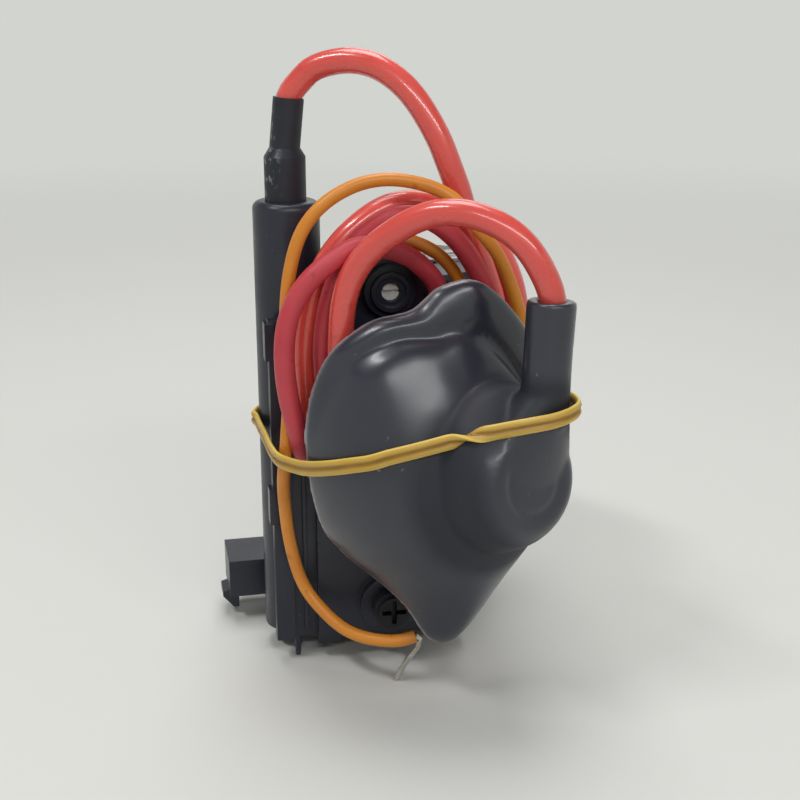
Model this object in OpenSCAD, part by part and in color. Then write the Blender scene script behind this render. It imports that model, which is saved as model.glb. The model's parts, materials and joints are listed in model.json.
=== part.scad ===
// Flyback transformer with its high voltage column, control block, leads and rubber anode cap.
// Millimetres, +Z up. The origin is the coil axis at the plane where the part seats on its board.

/* [Coil can] */
// Outer diameter of the moulded can
can_d = 40; // [34:0.5:48]
// Height of the can above the board
can_h = 75; // [60:1:90]
// Wall of every black moulding
wall = 1.8; // [1.2:0.1:2.6]
// Depth of the trough that takes a yoke of the core
trough = 11; // [9:0.5:13]
// Reach of the side lug beyond the can
lug_reach = 22.2; // [18:0.2:26]
// Height of the side lug's top
lug_top = 9.7; // [7:0.1:14]

/* [High voltage column] */
// Diameter of the column
column_d = 13.5; // [10:0.5:18]
// Height of the column above the board
column_h = 92.4; // [80:0.2:110]
// Radius on the rim of the column's top
column_round = 1.6; // [0.5:0.1:3]
// Distance of the column to the left of the coil axis
column_x = 28.6; // [26:0.1:34]
// Distance of the column in front of the coil axis
column_y = 21.3; // [18:0.1:26]
// Outer diameter of the spigot that the lead leaves by
spigot_d = 7.2; // [6.2:0.1:8.5]
// Length of the spigot
spigot_h = 8; // [5:0.5:12]
// Length of the shrink sleeve over the spigot and the lead
sleeve_l = 20; // [16:0.5:26]
// Lean of the sleeve's upper part to the right, in degrees
sleeve_lean = 6; // [0:1:10]
// Length of the bleeder resistor in the column
resistor_l = 60; // [40:1:66]
// Radius of the bleeder resistor
resistor_r = 3.4; // [2:0.1:4]

/* [Control block] */
// Left edge of the block's flange
flange_left = 34; // [32:0.5:38]
// Right edge of the block
block_right = 7.5; // [5:0.5:12]
// Height of the flange
block_h = 70; // [60:1:76]
// Left side of the raised box on the flange
box_left = 25.2; // [23.5:0.1:27]
// Thickness of the flange
flange_t = 2; // [1.5:0.1:3]
// Height of the raised box over the flange
box_raise = 2; // [1:0.1:3]
// Distance of both control axes to the left of the coil axis
control_x = 10; // [8:0.5:12]
// Height of the focus control
focus_z = 75.7; // [70:0.1:80]
// Height of the screen control
screen_z = 7.5; // [7.5:0.1:12]
// Outer radius of the focus turret
focus_turret_r = 5.2; // [4.6:0.1:6]
// Outer radius of the screen turret
screen_turret_r = 6.5; // [6:0.1:7]
// Radius of the focus rotor
rotor_r = 1.8; // [1.5:0.1:2.2]
// Radius of the screen knob
knob_r = 4; // [3.6:0.1:4.8]
// Radial running clearance of both control shafts
run = 0.06; // [0.02:0.01:0.1]

/* [Core and windings] */
// Radius of the round legs of the core
leg_r = 5.8; // [5:0.1:6]
// Clearance between the can and the outer leg of the core
leg_gap = 0.6; // [0.4:0.1:3]
// Thickness of the spacers in the core's gap
gap_t = 0.6; // [0.2:0.1:1]
// Radial build of the primary winding
primary_t = 2.4; // [1.5:0.1:2.6]
// Thickness of the resin round the high voltage winding
pot_t = 3.5; // [2.5:0.1:4.2]
// Thickness of the steel of the core's clip
clip_t = 0.8; // [0.5:0.1:1]
// Width of the clip
clip_w = 10; // [8:0.5:12]

/* [Terminals] */
// Radius of a terminal pin
pin_r = 0.5; // [0.4:0.05:0.6]
// Length of a pin below the board plane
pin_l = 5; // [3.5:0.5:6]
// Radius of the circle of pins
pin_circle_r = 15; // [14:0.5:16]

/* [Leads] */
// Diameter of the anode lead
anode_lead_d = 5; // [4:0.1:5]
// Diameter of the screen lead
screen_lead_d = 2.6; // [2:0.1:3]
// Radius of the round ends of the bundle of leads
bundle_r = 25; // [22:0.5:26]
// Radius of the round ends of the opening in the bundle
bundle_in_r = 11; // [9:0.5:12]
// Depth of the bundle from front to back
bundle_t = 6.4; // [5:0.2:6.4]

/* [Anode cap] */
// Thickness of the rubber skirt
skirt_t = 1.7; // [1.2:0.1:2.4]
// Radius of the collar where the skirt meets the hub
collar_r = 14.5; // [13:0.5:16]
// How much further the collar reaches out towards the boot
collar_egg = 4; // [0:0.5:6]
// Radius of the hub
hub_r = 10.6; // [9:0.1:12]
// Height of the hub over the foot of the collar
hub_h = 10; // [8:0.2:13]
// Outer radius of the boot that the lead enters
boot_r = 4.6; // [4:0.1:5]
// Width of the rubber band that holds the cap and the leads
band_w = 2.8; // [2:0.1:4]
// Thickness of the rubber band
band_t = 1; // [0.6:0.1:1.4]

/* [Hidden] */
$fn = 64;

eps = 0.01;
gap = 0.3;
can_r = can_d / 2;
leg_pitch = can_r + leg_gap + leg_r;
cavity_r = can_r - wall;
roof_z = can_h - trough;
cavity_top = roof_z - wall;
leg_hole_r = leg_r + 0.4;
yoke_half = leg_r + 0.2;
trough_half = yoke_half + gap;
column_r = column_d / 2;
column_bore_r = column_r - wall + 0.2;
column_dir = atan2(-column_y, -column_x);
column_far = norm([column_x, column_y]);
web_w = 7;
sleeve_t = 0.55;
resistor_z = 14;
resistor_disc_t = 2;
lug_left = can_r + lug_reach;
lug_front = 10.3;
lug_back = 2.5;
lug_wall = 2.2;
lug_low = 1;
hook_out = 1.4;
hook_drop = 3.2;
pad_out = 2;
pad_drop = 18;
bridge_left = 17;
bridge_right = 5;
lead_r = anode_lead_d / 2;
spigot_r = spigot_d / 2;

flange_back = -(column_y + column_r + gap);
flange_front = flange_back - flange_t;
rim_front = flange_front - 1;
box_front = flange_front - box_raise;
box_back = -(can_r + 0.9);
deep_left = 20.6;
ear_r = 7.2;
ear_bore_r = ear_r - wall;
ear_low = 40;
rim_w = 4;
rib_left = 28;
rib_t = 0.8;
rib_inset = 2;
tab_l = 7.6;
tab_low = 26.9;
tab_high = 62;
box_floor = box_front + wall;
turret_front = box_front - 2.2;
ring_front = turret_front - 1.2;
rotor_front = ring_front + 1.4;
screen_front = box_front - 2;
knob_back = screen_front - gap;
knob_front = knob_back - 3.6;
stem_r = 3;
disc_t = 1.4;
disc_back = box_floor + gap + disc_t;
wiper_t = 0.4;
board_t = 1;
board_front = disc_back + wiper_t + gap;
resin_front = board_front + board_t;

bobbin_r = leg_hole_r + 0.2;
bobbin_out_r = bobbin_r + 1;
bobbin_z = trough + 1.2;
coil_low = bobbin_z + 1.4;
coil_high = cavity_top - 3;
primary_r = bobbin_out_r + primary_t;
hv_in_r = primary_r + 0.9;
hv_flange_r = cavity_r - pot_t;
hv_out_r = hv_flange_r - 0.4;
diode_ring_r = (hv_flange_r + cavity_r) / 2;
diode_r = 0.9;
diode_l = 9;
diode_z = 12;
post_l = 26;
pin_shank_r = pin_r + 0.35;
pin_seat = 3.6;
core_mid = (roof_z + trough) / 2;

bundle_x = -8.3;
bundle_low = 58;
bundle_high = 74;
bundle_back = box_front - 0.5;

// The route of each free lead, as points chosen by eye from the way the leads hang.
neck_z = spigot_h + 2.4;
neck_l = sleeve_l - neck_z + 0.6;
arch_route = [
    [-column_x, -column_y, column_h + 1], [-column_x, -column_y, column_h + neck_z - 0.6],
    [-column_x + sin(sleeve_lean) * neck_l, -column_y, column_h + sleeve_l],
    [-25.4, -22, 115.4], [-23.2, -22.8, 117.6], [-20.2, -24, 118.9], [-16.4, -25.8, 119.5],
    [-12.1, -28, 118.8], [-8.2, -30.2, 116.5], [-4.9, -32.2, 113], [-2.3, -33.8, 108.8],
    [-0.2, -35, 104.5], [1.4, -35.8, 100.2], [3.4, -36.3, 94.6]
];
tail_route = [
    [-21.8, -44.4, 62], [-21.6, -44.6, 70.7], [-20.2, -45.2, 79.7], [-16.8, -47.2, 86],
    [-12, -50, 90.6], [-6.9, -52.8, 93.6], [-1.7, -55.7, 94.6], [3.1, -58, 93.8],
    [7.8, -60, 91.2], [11.6, -61.6, 87.6]
];
screen_route = [
    [-32.6, -40.4, 52], [-32.9, -40.6, 45.5], [-32.7, -38.2, 39.5], [-32.2, -35.6, 33],
    [-31.6, -34.6, 26.9], [-30.5, -34.8, 20.4], [-28.3, -36, 13.8], [-25, -38.5, 9.5],
    [-20.9, -41.4, 6.3], [-14.6, -45.2, 5.2], [-9.8, -46.6, 5.5], [-7.4, -46.8, 6.2]
];
tip_route = [
    [-7.4, -46.8, 6.2], [-6.6, -46.9, 5.6], [-6.9, -46.6, 3.6], [-9, -45.4, 0], [-11, -44.4, -4.4]
];

// The rim of the cap where it lies pressed against the leads.
rim = [
    [-29.5, -47.5, 52.6], [-25.9, -48.5, 66.1], [-17.9, -49.5, 73.4], [-9.6, -50, 75.6],
    [-3.9, -50, 79.9], [3.8, -49.6, 80.3], [12.9, -46, 71.5], [19, -41, 60], [20, -38.5, 46],
    [17, -40.5, 33], [8.5, -46.5, 19.5], [-1.1, -52.2, 8.7], [-6.4, -53, 8.8],
    [-11.1, -51.6, 15.9], [-16.9, -49.8, 21.8], [-23, -48.4, 27.3], [-27.5, -47.6, 35]
];
cap_axis = [0.43, -0.885, 0.17] / norm([0.43, -0.885, 0.17]);
cap_side = cross([0, 0, 1], cap_axis) / norm(cross([0, 0, 1], cap_axis));
cap_up = cross(cap_axis, cap_side);
hub_top = [10.2, -68, 46.2];
collar_foot = hub_top - hub_h * cap_axis;
cap_heart = collar_foot - 26 * cap_axis;
boot_top = [14.1, -62.2, 79.1];
boot_foot = [12.6, -63.2, 49.4];
boot_dir = (boot_top - boot_foot) / norm(boot_top - boot_foot);
boot_depth = 14;
flare_h = 12.6;
clip_disc_t = 1.6;
clip_l = 9;
clip_wire_r = 0.7;
cap_columns = 48;
skirt_rows = 7;
// How far the skirt's curve runs along the hub and outwards, at its right and its left.
rim_rise = [2.5, 7.5];
rim_lean = [0, 1.5];
collar_bulge = [2.5, 9];
collar_drop = [5, 3];
// Radius, height and share of the collar's reach of each ring of the hub, outside and then inside.
hub_profile = [
    [collar_r - 0.4, 0.9, 0.95], [collar_r - 1.3, 2, 0.8], [hub_r + 1.3, hub_h * 0.38, 0.5],
    [hub_r + 0.5, hub_h * 0.6, 0.2], [hub_r, hub_h - 1.6, 0], [hub_r - 0.5, hub_h - 0.5, 0],
    [hub_r - 1.4, hub_h, 0]
];
hub_inside = [[collar_r - 3, -0.6], [collar_r - 7, 0.4]];

function unit(v) = v / norm(v);
function bez(a, b, c, d, t) =
    a * pow(1 - t, 3) + 3 * b * t * pow(1 - t, 2) + 3 * c * t * t * (1 - t) + d * pow(t, 3);
function spline(p, i, t) =
    let(n = len(p), a = p[(i + n - 1) % n], b = p[i % n], c = p[(i + 1) % n], d = p[(i + 2) % n])
    0.5 * (2 * b + (c - a) * t + (2 * a - 5 * b + 4 * c - d) * t * t
        + (3 * b - a - 3 * c + d) * t * t * t);
function on_loop(p, s) = spline(p, floor(s * len(p)), s * len(p) - floor(s * len(p)));
function around(a) = cos(a) * cap_side + sin(a) * cap_up;
function angle_of(p) = atan2((p - collar_foot) * cap_up, (p - collar_foot) * cap_side);
function by_side(a, ends) = ends[1] + (ends[0] - ends[1]) * (1 + cos(a)) / 2;
function ring(a, r, h, share = 0) =
    collar_foot + (r + share * collar_egg * pow(max(0, sin(a)), 2)) * around(a) + h * cap_axis;
function skirt(p, t) =
    let(a = angle_of(p), k = ring(a, collar_r, 0, 1))
    bez(p, p + by_side(a, rim_rise) * cap_axis + by_side(a, rim_lean) * around(a),
        k + by_side(a, collar_bulge) * around(a) - by_side(a, collar_drop) * cap_axis, k, t);
function inward(p) = p - skirt_t * unit(p - cap_heart);
function flat(list) = [for (a = list) each a];

// One closed solid from rings of points, each with the same count, capped at both ends.
module rings_solid(rows) {
    n = len(rows[0]);
    m = len(rows);
    polyhedron(
        points = flat(rows),
        faces = concat(
            [[for (i = [n - 1:-1:0]) i]],
            [for (j = [0:m - 2]) for (i = [0:n - 1]) each [
                [j * n + i, j * n + (i + 1) % n, (j + 1) * n + (i + 1) % n],
                [j * n + i, (j + 1) * n + (i + 1) % n, (j + 1) * n + i]]],
            [[for (i = [0:n - 1]) (m - 1) * n + i]]
        ),
        convexity = 8
    );
}

// A round lead swept along a route; side is a direction that no part of the route follows.
module lead(route, r, sides, side) {
    n = len(route);
    rings_solid([for (j = [0:n - 1])
        let(t = unit(route[min(j + 1, n - 1)] - route[max(j - 1, 0)]),
            u = unit(cross(t, side)), v = cross(t, u))
        [for (i = [0:sides - 1]) route[j] + r * (cos(-i * 360 / sides) * u
            - sin(-i * 360 / sides) * v)]]);
}

// A cylinder along Y, from its back to its front.
module rod_y(x, z, r, back, front) {
    translate([x, back, z])
        rotate([90, 0, 0])
            cylinder(r = r, h = back - front);
}

// A box between two corners.
module box(a, b) {
    translate(a)
        cube(b - a);
}

// The outline of a yoke, with a round end over each leg.
module yoke(half, z0, z1) {
    translate([0, 0, z0])
        cylinder(r = half, h = z1 - z0);
    translate([0, leg_pitch, z0])
        cylinder(r = half, h = z1 - z0);
    box([-half, 0, z0], [half, leg_pitch, z1]);
}

// Runs its children about the foot of the cap's hub, with Z along the hub.
module on_hub() {
    multmatrix([
        [cap_side[0], cap_up[0], cap_axis[0], collar_foot[0]],
        [cap_side[1], cap_up[1], cap_axis[1], collar_foot[1]],
        [cap_side[2], cap_up[2], cap_axis[2], collar_foot[2]],
        [0, 0, 0, 1]
    ])
        children();
}

// The moulded can, column, side lug and the pads that the other pieces clip to.
module main_case() {
    color([0.1, 0.1, 0.11])
        difference() {
            union() {
                cylinder(r = can_r, h = can_h - 1);
                translate([0, 0, can_h - 1])
                    cylinder(r1 = can_r, r2 = can_r - 1, h = 1);
                translate([-column_x, -column_y, 0]) {
                    cylinder(r = column_r, h = column_h - column_round);
                    cylinder(r = column_r - column_round, h = column_h);
                    translate([0, 0, column_h - column_round])
                        rotate_extrude()
                            translate([column_r - column_round, 0])
                                circle(r = column_round);
                    cylinder(r = spigot_r, h = column_h + spigot_h);
                }
                rotate([0, 0, column_dir])
                    box([can_r - 1, -web_w / 2, 4], [column_far - column_r + 1, web_w / 2, can_h - 9]);
                box([-bridge_left, box_back, 5], [bridge_right, -can_r / 2, can_h - 8]);
                for (s = [0, 1])
                    mirror([s, 0, 0])
                        box([can_r - 1.2, -clip_w / 2 - 1, can_h - pad_drop],
                            [can_r + pad_out, clip_w / 2 + 1, can_h - 4]);
                side_lug();
            }
            translate([0, 0, -eps])
                cylinder(r = cavity_r, h = cavity_top + eps);
            cylinder(r = leg_hole_r, h = can_h);
            box([-trough_half, -trough_half, roof_z], [trough_half, leg_pitch, can_h + eps]);
            box([-trough_half, 0, -eps], [trough_half, leg_pitch, trough + gap]);
            translate([-column_x, -column_y, -eps]) {
                cylinder(r = column_bore_r, h = column_h - 4);
                cylinder(r = lead_r, h = column_h + spigot_h + 1);
            }
            box([-lug_left + lug_wall, -lug_front + lug_wall, -eps], [-can_r - 1.6,
                lug_back - lug_wall, lug_top - lug_wall]);
        }
}

// The lug at the left of the can, with the hook that snaps into the chassis.
module side_lug() {
    box([-lug_left, -lug_front, lug_low], [-can_r + 1, lug_back, lug_top]);
    translate([-lug_left, -0.8, 0])
        rotate([90, 0, 0])
            linear_extrude(height = 6)
                polygon([[lug_wall, 3], [0, 3], [0, 1.2], [-hook_out, 0.8], [-hook_out, -0.4],
                    [1, -hook_drop], [lug_wall, -hook_drop]]);
}

// The control block: flange, raised box, turrets, ear and the hollow that takes the board.
module control_case() {
    color([0.09, 0.09, 0.1])
        difference() {
            union() {
                box([-flange_left, flange_front, 0], [block_right, flange_back, block_h]);
                box([-flange_left, rim_front, 0], [-flange_left + rim_w, flange_front + eps, block_h]);
                box([-rib_left, rim_front + 0.2, rib_inset], [-rib_left + rib_t, flange_front + eps,
                    block_h - rib_inset]);
                box([-box_left, box_front, 0], [block_right, flange_back, block_h]);
                box([-deep_left, flange_front, 0.6], [block_right, box_back, block_h - 1]);
                rod_y(-control_x, focus_z, ear_r, box_back, box_front);
                box([-control_x - ear_r, box_front, ear_low], [-control_x + ear_r, box_back, focus_z]);
                rod_y(-control_x, focus_z, focus_turret_r, box_front + 1, turret_front);
                rod_y(-control_x, focus_z, focus_turret_r - 1.2, box_front + 1, ring_front);
                rod_y(-control_x, screen_z, screen_turret_r, box_front + 1, screen_front);
                snap_tabs();
                pegs();
            }
            box([-deep_left + wall, box_floor, 0.6 + wall], [block_right - wall, box_back + eps,
                block_h - 1 - wall]);
            rod_y(-control_x, focus_z, ear_bore_r, box_back + eps, box_floor);
            box([-control_x - ear_bore_r, box_floor, ear_low], [-control_x + ear_bore_r, box_back + eps,
                focus_z]);
            rod_y(-control_x, screen_z, ear_bore_r - 0.2, box_back, box_floor);
            rod_y(-control_x, focus_z, rotor_r + run, box_back, ring_front - 1);
            rod_y(-control_x, focus_z, focus_turret_r - 2.2, ring_front + 0.7, ring_front - 1);
            rod_y(-control_x, screen_z, stem_r + run, box_back, screen_front - 1);
        }
}

// The tabs along the flange that snap over the edge of the column.
module snap_tabs() {
    for (z = [tab_low, tab_high])
        box([-flange_left - 0.8, rim_front - 0.5, z], [-flange_left + 1.2, flange_back, z + tab_l]);
}

// The feet of the control block that locate it in the board: a peg, a lip and a hook.
module pegs() {
    translate([-flange_left + 4.6, flange_back - 1, eps])
        mirror([0, 0, 1])
            cylinder(r1 = 0.9, r2 = 0.5, h = pin_l - 0.4);
    box([-box_left, box_front + 0.6, -1.4], [-box_left + 4.8, box_front + 2.2, eps]);
    translate([block_right, flange_back, 0])
        rotate([90, 0, 0])
            linear_extrude(height = 2)
                polygon([[-1.9, eps], [0, eps], [0, -0.8], [-1.3, -3.6], [-1.9, -3.6]]);
}

// The grey rotor of the focus control, with its screwdriver slot and inner disc.
module focus_knob() {
    color([0.45, 0.45, 0.46])
        difference() {
            union() {
                rod_y(-control_x, focus_z, rotor_r, disc_back, rotor_front);
                rod_y(-control_x, focus_z, ear_bore_r - gap, disc_back, disc_back - disc_t);
            }
            box([-control_x - rotor_r, rotor_front - 1, focus_z - 0.3],
                [-control_x + rotor_r, rotor_front + 0.8, focus_z + 0.3]);
        }
}

// The stepped knob of the screen control, with its cross slot and inner disc.
module screen_knob() {
    color([0.12, 0.12, 0.13])
        difference() {
            union() {
                rod_y(-control_x, screen_z, knob_r, knob_back, knob_front + 1.2);
                rod_y(-control_x, screen_z, knob_r - 0.7, knob_back, knob_front);
                rod_y(-control_x, screen_z, stem_r, disc_back, knob_back - 0.5);
                rod_y(-control_x, screen_z, ear_bore_r - 0.2 - gap, disc_back, disc_back - disc_t);
            }
            for (a = [0, 90])
                translate([-control_x, 0, screen_z])
                    rotate([0, a, 0])
                        box([-2.6, knob_front - 1, -0.5], [2.6, knob_front + 1.8, 0.5]);
        }
}

// A wiper on the inner disc of a control.
module wiper(z) {
    color([0.72, 0.55, 0.25]) {
        rod_y(-control_x, z, 1.6, disc_back + wiper_t, disc_back);
        box([-control_x - 0.8, disc_back, z], [-control_x + 0.8, disc_back + wiper_t, z + 4.4]);
    }
}

module focus_wiper() {
    wiper(focus_z);
}

module screen_wiper() {
    wiper(screen_z);
}

// The ceramic board that carries the printed resistance of both controls.
module resistor_board() {
    color([0.85, 0.84, 0.8]) {
        box([-deep_left + wall + 0.6, board_front, 3], [block_right - wall - 0.6, resin_front,
            block_h - 4]);
        box([-control_x - 4, board_front, block_h - 4], [-control_x + 4, resin_front, focus_z + 2.6]);
    }
}

// The resin that seals the back of the control block.
module control_resin() {
    color([0.16, 0.15, 0.14])
        box([-deep_left + wall, resin_front, 0.6 + wall], [block_right - wall, box_back,
            block_h - 1 - wall]);
}

// The bobbin that carries the pins and the primary winding.
module primary_bobbin() {
    color([0.2, 0.2, 0.22])
        difference() {
            union() {
                translate([0, 0, 0.4])
                    cylinder(r = cavity_r, h = pin_seat - 0.4);
                translate([0, 0, bobbin_z])
                    cylinder(r = cavity_r, h = 1.4);
                translate([0, 0, bobbin_z])
                    cylinder(r = bobbin_out_r, h = coil_high - bobbin_z);
                for (s = [-1, 1])
                    translate([s * (trough_half + 1), 0, 1])
                        box([-1, -post_l / 2, 0], [1, post_l / 2, bobbin_z]);
            }
            cylinder(r = bobbin_r, h = can_h);
            box([-trough_half, -trough_half, 0], [trough_half, can_r, bobbin_z - 0.6]);
            pins(pin_shank_r, 0, pin_seat);
        }
}

module primary_winding() {
    color([0.72, 0.42, 0.2])
        difference() {
            translate([0, 0, coil_low])
                cylinder(r = primary_r, h = coil_high - coil_low);
            cylinder(r = bobbin_out_r, h = can_h);
        }
}

module hv_bobbin() {
    color([0.85, 0.82, 0.74])
        difference() {
            union() {
                translate([0, 0, coil_low])
                    cylinder(r = hv_in_r, h = coil_high - coil_low);
                for (z = [coil_low, coil_high - 1.5])
                    translate([0, 0, z])
                        cylinder(r = hv_flange_r, h = 1.5);
            }
            cylinder(r = primary_r, h = can_h);
        }
}

module hv_winding() {
    color([0.7, 0.36, 0.18])
        difference() {
            translate([0, 0, coil_low + 1.5])
                cylinder(r = hv_out_r, h = coil_high - coil_low - 3);
            cylinder(r = hv_in_r, h = can_h);
        }
}

// The three diodes in the high voltage winding's chain.
module diodes(r) {
    for (i = [0:2])
        rotate([0, 0, 200 + 45 * i])
            translate([diode_ring_r, 0, coil_low + diode_z])
                cylinder(r = r, h = diode_l);
}

module rectifier_diodes() {
    color([0.08, 0.08, 0.08])
        diodes(diode_r);
}

module potting_resin() {
    color([0.14, 0.13, 0.12])
        difference() {
            translate([0, 0, coil_low])
                cylinder(r = cavity_r, h = cavity_top - coil_low);
            translate([0, 0, coil_low - eps])
                cylinder(r = hv_flange_r, h = coil_high - coil_low + eps);
            cylinder(r = bobbin_r, h = can_h);
            diodes(diode_r);
        }
    color([0.14, 0.13, 0.12])
        translate([-column_x, -column_y, 1])
            cylinder(r = column_bore_r, h = resistor_z - 1);
}

// Ten of twelve places on the circle; the yoke passes through the other two.
module pins(r, z0, z1) {
    for (i = [0, 1, 2, 4, 5, 6, 7, 8, 10, 11])
        rotate([0, 0, 30 * i])
            translate([pin_circle_r, 0, z0])
                cylinder(r = r, h = z1 - z0, $fn = 24);
}

module terminal_pins() {
    color([0.8, 0.8, 0.78]) {
        pins(pin_r, -pin_l, 0.4);
        pins(pin_shank_r, 0, pin_seat);
    }
}

module upper_core() {
    color([0.17, 0.17, 0.18]) {
        yoke(yoke_half, roof_z, can_h);
        for (y = [0, leg_pitch])
            translate([0, y, core_mid + gap_t / 2])
                cylinder(r = leg_r, h = roof_z - core_mid);
    }
}

module lower_core() {
    color([0.17, 0.17, 0.18]) {
        yoke(yoke_half, 0.4, trough);
        for (y = [0, leg_pitch])
            translate([0, y, trough - 1])
                cylinder(r = leg_r, h = core_mid - gap_t / 2 - trough + 1);
    }
}

module gap_spacer() {
    color([0.8, 0.72, 0.5])
        for (y = [0, leg_pitch])
            translate([0, y, core_mid - gap_t / 2])
                cylinder(r = leg_r, h = gap_t);
}

// The steel strap that holds the yoke down and hooks under the two lugs of the can.
module core_clip() {
    out = can_r + pad_out;
    low = can_h - pad_drop - clip_t;
    color([0.75, 0.76, 0.77]) {
        box([-out - clip_t, -clip_w / 2, can_h], [out + clip_t, clip_w / 2, can_h + clip_t]);
        box([-out + 4, -1.4, can_h + clip_t], [out - 4, 1.4, can_h + clip_t + 0.7]);
        for (s = [0, 1])
            mirror([s, 0, 0]) {
                box([out, -clip_w / 2, low], [out + clip_t, clip_w / 2, can_h + eps]);
                box([can_r + 0.2, -clip_w / 2, low], [out + eps, clip_w / 2, low + clip_t]);
            }
    }
}

// The bleeder resistor inside the column, on its two end discs.
module column_resistor() {
    color([0.2, 0.3, 0.5])
        translate([-column_x, -column_y, 0]) {
            translate([0, 0, resistor_z + resistor_disc_t])
                cylinder(r = resistor_r, h = resistor_l);
            for (z = [resistor_z, resistor_z + resistor_disc_t + resistor_l])
                translate([0, 0, z])
                    cylinder(r = column_bore_r, h = resistor_disc_t);
        }
}

// The shrink sleeve over the spigot and the start of the anode lead, which leans at its neck.
module lead_sleeve() {
    color([0.08, 0.08, 0.09])
        translate([-column_x, -column_y, column_h])
            difference() {
                union() {
                    cylinder(r = spigot_r + sleeve_t, h = spigot_h + 0.6);
                    translate([0, 0, spigot_h + 0.6])
                        cylinder(r1 = spigot_r + sleeve_t, r2 = lead_r + sleeve_t,
                            h = neck_z - spigot_h - 0.6);
                    on_neck()
                        translate([0, 0, -0.6])
                            cylinder(r = lead_r + sleeve_t, h = neck_l + 0.6);
                }
                translate([0, 0, -eps])
                    cylinder(r = spigot_r, h = spigot_h + eps);
                cylinder(r = lead_r + 0.3, h = neck_z - 0.9);
                on_neck()
                    translate([0, 0, -0.9])
                        cylinder(r = lead_r + 0.02, h = neck_l + 1);
            }
}

// Runs its children about the neck of the sleeve, with Z along its leaning part.
module on_neck() {
    translate([0, 0, neck_z - 0.6])
        rotate([0, sleeve_lean, 0])
            children();
}

module anode_lead_arch() {
    color([0.87, 0.36, 0.34])
        lead(arch_route, lead_r, 12, [0.4, 1, 0.1]);
}

module anode_lead_tail() {
    route = concat(tail_route, [for (d = [4.6, 0.4, -boot_depth]) boot_top + d * boot_dir]);
    color([0.87, 0.36, 0.34])
        lead(route, lead_r, 12, [0.4, 1, 0.1]);
}

module screen_lead_tail() {
    color([0.88, 0.58, 0.2])
        lead(screen_route, screen_lead_d / 2, 8, [0.3, 1, -0.2]);
}

module screen_lead_tip() {
    color([0.75, 0.74, 0.7])
        lead(tip_route, 0.6, 8, [0.4, 1, 0.3]);
}

// The outline of the hank that the three leads are looped into, with round ends.
module hank(r) {
    for (z = [bundle_low, bundle_high])
        translate([bundle_x, z])
            circle(r = r);
    translate([bundle_x - r, bundle_low])
        square([2 * r, bundle_high - bundle_low]);
}

module lead_bundle() {
    color([0.75, 0.26, 0.3])
        translate([0, bundle_back, 0])
            rotate([90, 0, 0])
                linear_extrude(height = bundle_t)
                    difference() {
                        hank(bundle_r);
                        hank(bundle_in_r);
                    }
}

// The rubber cap: a skirt from the rim to the collar, then the hub, with the boot at its side.
module anode_cap() {
    edge = [for (i = [0:cap_columns - 1]) on_loop(rim, i / cap_columns)];
    outside = concat(
        [for (j = [0:skirt_rows]) [for (p = edge) skirt(p, j / skirt_rows)]],
        [for (h = hub_profile) [for (p = edge) ring(angle_of(p), h[0], h[1], h[2])]]
    );
    inside = concat(
        [for (h = [1, 0]) [for (p = edge) ring(angle_of(p), hub_inside[h][0], hub_inside[h][1])]],
        [for (j = [skirt_rows - 1:-1:0]) [for (p = edge) inward(skirt(p, j / skirt_rows))]]
    );
    color([0.26, 0.27, 0.3])
        difference() {
            union() {
                rings_solid(concat(inside, outside));
                boot(boot_r, -norm(boot_top - boot_foot), 0);
                translate(boot_foot)
                    sphere(r = boot_r);
                boot_flare();
            }
            boot(lead_r + 0.02, -boot_depth, 1);
        }
}

// A cylinder along the boot, between two heights over its mouth.
module boot(r, low, high) {
    translate(boot_top)
        rotate([0, acos(boot_dir[2]), atan2(boot_dir[1], boot_dir[0])])
            translate([0, 0, low])
                cylinder(r = r, h = high - low);
}

// The root of the boot, which widens from the boot into the hub.
module boot_flare() {
    foot_l = norm(boot_top - boot_foot);
    hull() {
        boot(boot_r, flare_h - foot_l - 1, flare_h - foot_l);
        on_hub()
            translate([0, 0, 1.6])
                cylinder(r = hub_r - 0.4, h = 4.4);
    }
}

// The spring contact that stands in the hollow of the cap.
module anode_clip() {
    color([0.78, 0.78, 0.76])
        on_hub() {
            translate([0, 0, hub_inside[1][1] - clip_disc_t])
                cylinder(r = 5, h = clip_disc_t);
            for (s = [-1, 1])
                translate([s * 3, 0, hub_inside[1][1] - clip_l]) {
                    cylinder(r = clip_wire_r, h = clip_l - 0.4);
                    rotate([0, s * 90, 0])
                        cylinder(r = clip_wire_r, h = 2.4);
                }
        }
}

// The rubber band round the column, the leads and the cap, as a closed ribbon.
band_route = [
    [-36.2, -18, 45], [-36.2, -26, 45], [-35.6, -32.4, 44.8], [-35.6, -38.6, 44.7], [-34.4, -43.2, 44.8],
    [-30.9, -47.9, 45.4], [-29.7, -50.2, 45.9], [-28.2, -52.7, 46.6], [-25.5, -56.3, 47.8],
    [-22.6, -59.3, 49.1], [-19.3, -61.8, 50.3], [-16, -63.4, 51.7], [-12.3, -64.5, 52.8],
    [-8.6, -65.2, 53.8], [-4.4, -66.1, 55], [2.2, -67.7, 56.6], [8.8, -69, 57.9], [12.7, -69, 58.4],
    [16, -68.1, 58.9], [18.7, -65.7, 59.3], [19.4, -62, 59.4], [19.8, -57, 58.6], [20.6, -50, 57],
    [21.6, -42, 55], [22.6, -34, 52.4], [22.8, -21, 49.6], [22.8, -8, 47], [21.7, 4, 45.8],
    [17.9, 14.2, 45], [7.6, 31.8, 44.6], [0, 33.9, 44.4], [-7.6, 31.9, 44.4], [-21.9, 6, 44.7]
];

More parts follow.
